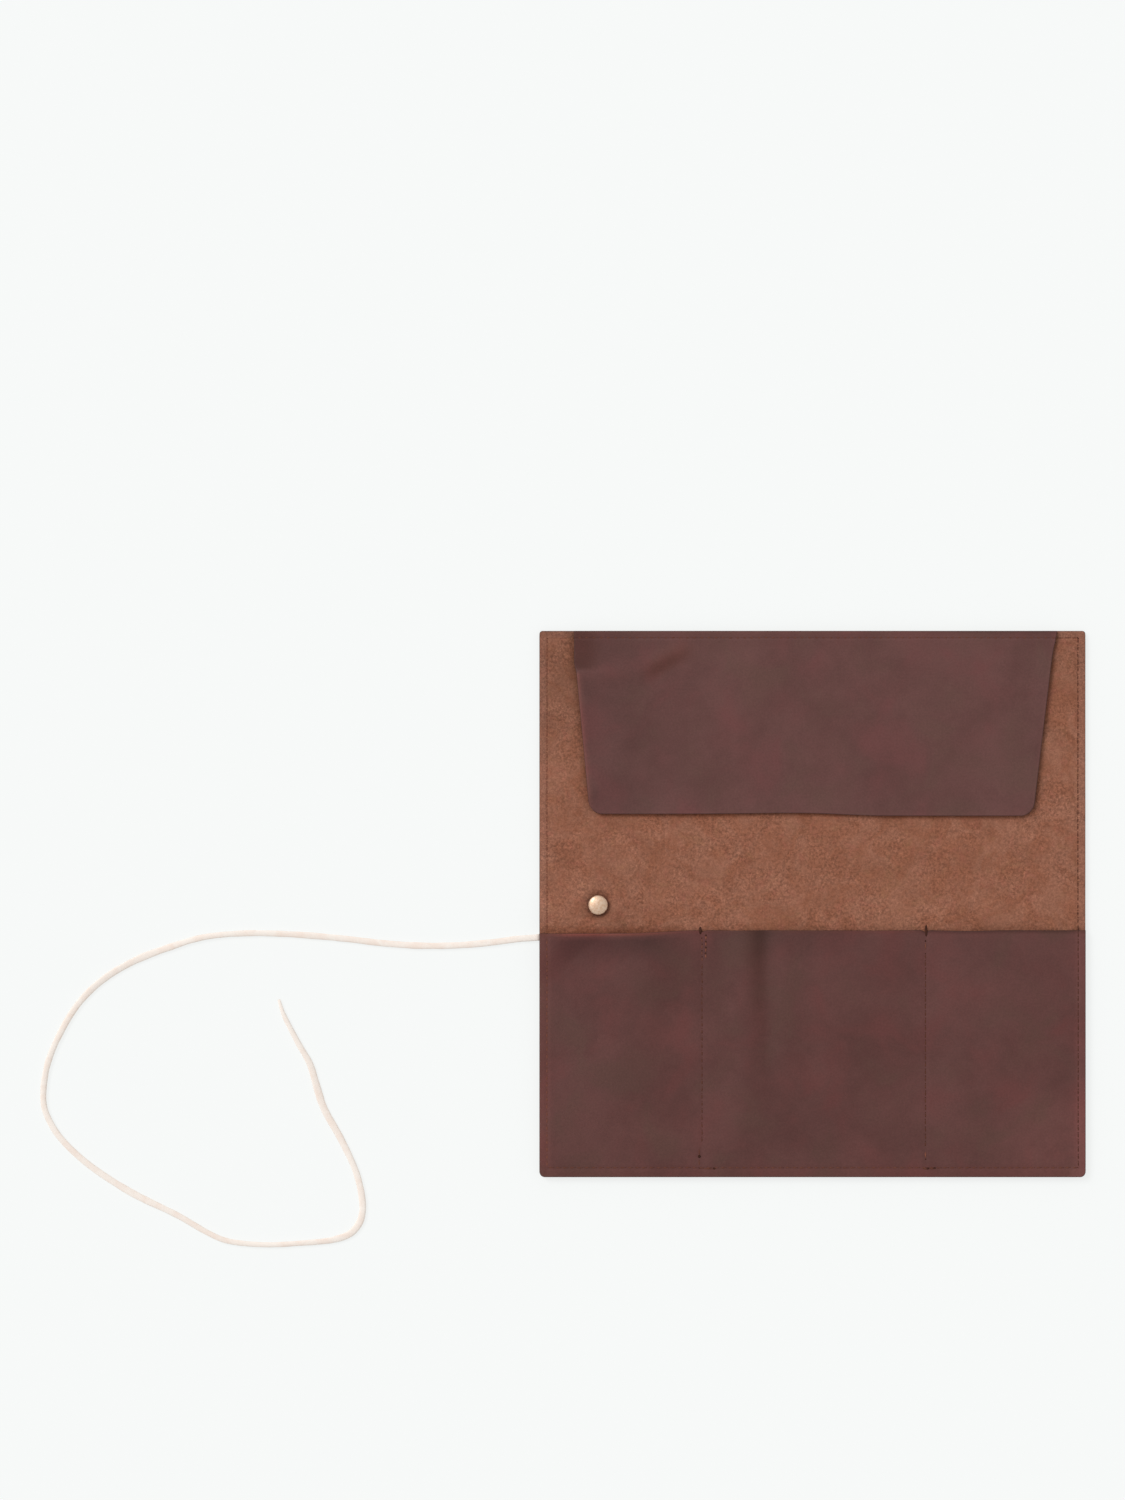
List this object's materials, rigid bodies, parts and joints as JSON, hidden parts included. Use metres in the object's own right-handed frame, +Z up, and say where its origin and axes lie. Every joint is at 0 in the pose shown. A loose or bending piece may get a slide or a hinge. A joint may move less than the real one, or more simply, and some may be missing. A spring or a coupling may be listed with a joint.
{
  "type": "brush roll case",
  "caption": "Square leather roll-up brush case: a suede-lined back with open pockets, a tapered flap that folds back, and a riveted tie lace.",
  "frame": {"origin": "on the floor, under the centre of the flat open case, leaving the lace out", "axes": "+X to the right, away from the lace; +Y from the pockets to the flap; +Z up, out of the inside face"},
  "size_m": [0.4979, 0.2939, 0.009],
  "materials": {
    "outer_leather": "smooth waxy grain, dark red-brown",
    "pocket_leather": "smooth waxy grain, dark red-brown",
    "flap_leather": "smooth waxy grain, dark red-brown",
    "suede": "suede, short matt nap",
    "thread": "dark waxed thread",
    "lace": "natural undyed leather",
    "brass": "satin pale brass"
  },
  "bodies": {
    "panel_1": {"outer_leather_1": "outer_leather", "suede_lining_1": "suede", "pocket_front_1": "pocket_leather", "flap_margin_1": "flap_leather", "bottom_stitching_1": "thread", "left_side_stitching": "thread", "rivet_cap": "brass", "rivet_post": "brass", "tie_lace": "lace", "tie_lace_end": "lace"},
    "panel_2": {"outer_leather_2": "outer_leather", "suede_lining_2": "suede", "pocket_front_2": "pocket_leather", "flap_margin_2": "flap_leather", "bottom_stitching_2": "thread", "left_divider_stitching": "thread"},
    "panel_3": {"outer_leather_3": "outer_leather", "suede_lining_3": "suede", "pocket_front_3": "pocket_leather", "flap_margin_3": "flap_leather", "bottom_stitching_3": "thread"},
    "panel_4": {"outer_leather_4": "outer_leather", "suede_lining_4": "suede", "pocket_front_4": "pocket_leather", "flap_margin_4": "flap_leather", "bottom_stitching_4": "thread"},
    "panel_5": {"outer_leather_5": "outer_leather", "suede_lining_5": "suede", "pocket_front_5": "pocket_leather", "flap_margin_5": "flap_leather", "bottom_stitching_5": "thread", "right_divider_stitching": "thread"},
    "panel_6": {"outer_leather_6": "outer_leather", "suede_lining_6": "suede", "pocket_front_6": "pocket_leather", "flap_margin_6": "flap_leather", "bottom_stitching_6": "thread"},
    "panel_7": {"outer_leather_7": "outer_leather", "suede_lining_7": "suede", "pocket_front_7": "pocket_leather", "flap_margin_7": "flap_leather", "bottom_stitching_7": "thread"},
    "panel_8": {"outer_leather_8": "outer_leather", "suede_lining_8": "suede", "pocket_front_8": "pocket_leather", "flap_margin_8": "flap_leather", "bottom_stitching_8": "thread", "right_side_stitching": "thread"},
    "flap_1": {"flap_leather_1": "flap_leather"},
    "flap_2": {"flap_leather_2": "flap_leather"},
    "flap_3": {"flap_leather_3": "flap_leather"},
    "flap_4": {"flap_leather_4": "flap_leather"},
    "flap_5": {"flap_leather_5": "flap_leather"},
    "flap_6": {"flap_leather_6": "flap_leather"},
    "flap_7": {"flap_leather_7": "flap_leather"},
    "flap_8": {"flap_leather_8": "flap_leather"}
  },
  "joints": [
    {"name": "flap_fold", "type": "hinge", "parent": "panel_1", "child": "flap_1", "pos_m": [0, 0.1256, 0.00455], "axis": [1, 0, 0], "range_deg": [-180, 0]},
    {"name": "roll_1", "type": "hinge", "parent": "panel_1", "child": "panel_2", "pos_m": [-0.0907, 0, 0.007], "axis": [0, -1, 0], "range_deg": [0, 62.5]},
    {"name": "roll_2", "type": "hinge", "parent": "panel_2", "child": "panel_3", "pos_m": [-0.0514, 0, 0.007], "axis": [0, -1, 0], "range_deg": [0, 67.55]},
    {"name": "roll_3", "type": "hinge", "parent": "panel_3", "child": "panel_4", "pos_m": [-0.01597, 0, 0.007], "axis": [0, -1, 0], "range_deg": [0, 72.55]},
    {"name": "roll_4", "type": "hinge", "parent": "panel_4", "child": "panel_5", "pos_m": [0.01947, 0, 0.007], "axis": [0, -1, 0], "range_deg": [0, 77.55]},
    {"name": "roll_5", "type": "hinge", "parent": "panel_5", "child": "panel_6", "pos_m": [0.0549, 0, 0.007], "axis": [0, -1, 0], "range_deg": [0, 82.55]},
    {"name": "roll_6", "type": "hinge", "parent": "panel_6", "child": "panel_7", "pos_m": [0.07993, 0, 0.007], "axis": [0, -1, 0], "range_deg": [0, 87.55]},
    {"name": "roll_7", "type": "hinge", "parent": "panel_7", "child": "panel_8", "pos_m": [0.10497, 0, 0.007], "axis": [0, -1, 0], "range_deg": [0, 92.55]},
    {"name": "flap_roll_1", "type": "hinge", "parent": "flap_1", "child": "flap_2", "pos_m": [-0.0907, 0, 0.007], "axis": [0, -1, 0], "range_deg": [0, 62.55]},
    {"name": "flap_roll_2", "type": "hinge", "parent": "flap_2", "child": "flap_3", "pos_m": [-0.0514, 0, 0.007], "axis": [0, -1, 0], "range_deg": [0, 67.55]},
    {"name": "flap_roll_3", "type": "hinge", "parent": "flap_3", "child": "flap_4", "pos_m": [-0.01597, 0, 0.007], "axis": [0, -1, 0], "range_deg": [0, 72.55]},
    {"name": "flap_roll_4", "type": "hinge", "parent": "flap_4", "child": "flap_5", "pos_m": [0.01947, 0, 0.007], "axis": [0, -1, 0], "range_deg": [0, 77.55]},
    {"name": "flap_roll_5", "type": "hinge", "parent": "flap_5", "child": "flap_6", "pos_m": [0.0549, 0, 0.007], "axis": [0, -1, 0], "range_deg": [0, 82.55]},
    {"name": "flap_roll_6", "type": "hinge", "parent": "flap_6", "child": "flap_7", "pos_m": [0.07993, 0, 0.007], "axis": [0, -1, 0], "range_deg": [0, 87.55]},
    {"name": "flap_roll_7", "type": "hinge", "parent": "flap_7", "child": "flap_8", "pos_m": [0.10497, 0, 0.007], "axis": [0, -1, 0], "range_deg": [0, 92.55]}
  ],
  "couplings": [
    {"joint": "roll_2", "follows": "roll_1", "ratio": 1.08},
    {"joint": "roll_3", "follows": "roll_1", "ratio": 1.16},
    {"joint": "roll_4", "follows": "roll_1", "ratio": 1.24},
    {"joint": "roll_5", "follows": "roll_1", "ratio": 1.32},
    {"joint": "roll_6", "follows": "roll_1", "ratio": 1.4},
    {"joint": "roll_7", "follows": "roll_1", "ratio": 1.48},
    {"joint": "flap_roll_1", "follows": "roll_1", "ratio": 1},
    {"joint": "flap_roll_2", "follows": "roll_1", "ratio": 1.08},
    {"joint": "flap_roll_3", "follows": "roll_1", "ratio": 1.16},
    {"joint": "flap_roll_4", "follows": "roll_1", "ratio": 1.24},
    {"joint": "flap_roll_5", "follows": "roll_1", "ratio": 1.32},
    {"joint": "flap_roll_6", "follows": "roll_1", "ratio": 1.4},
    {"joint": "flap_roll_7", "follows": "roll_1", "ratio": 1.48}
  ]
}
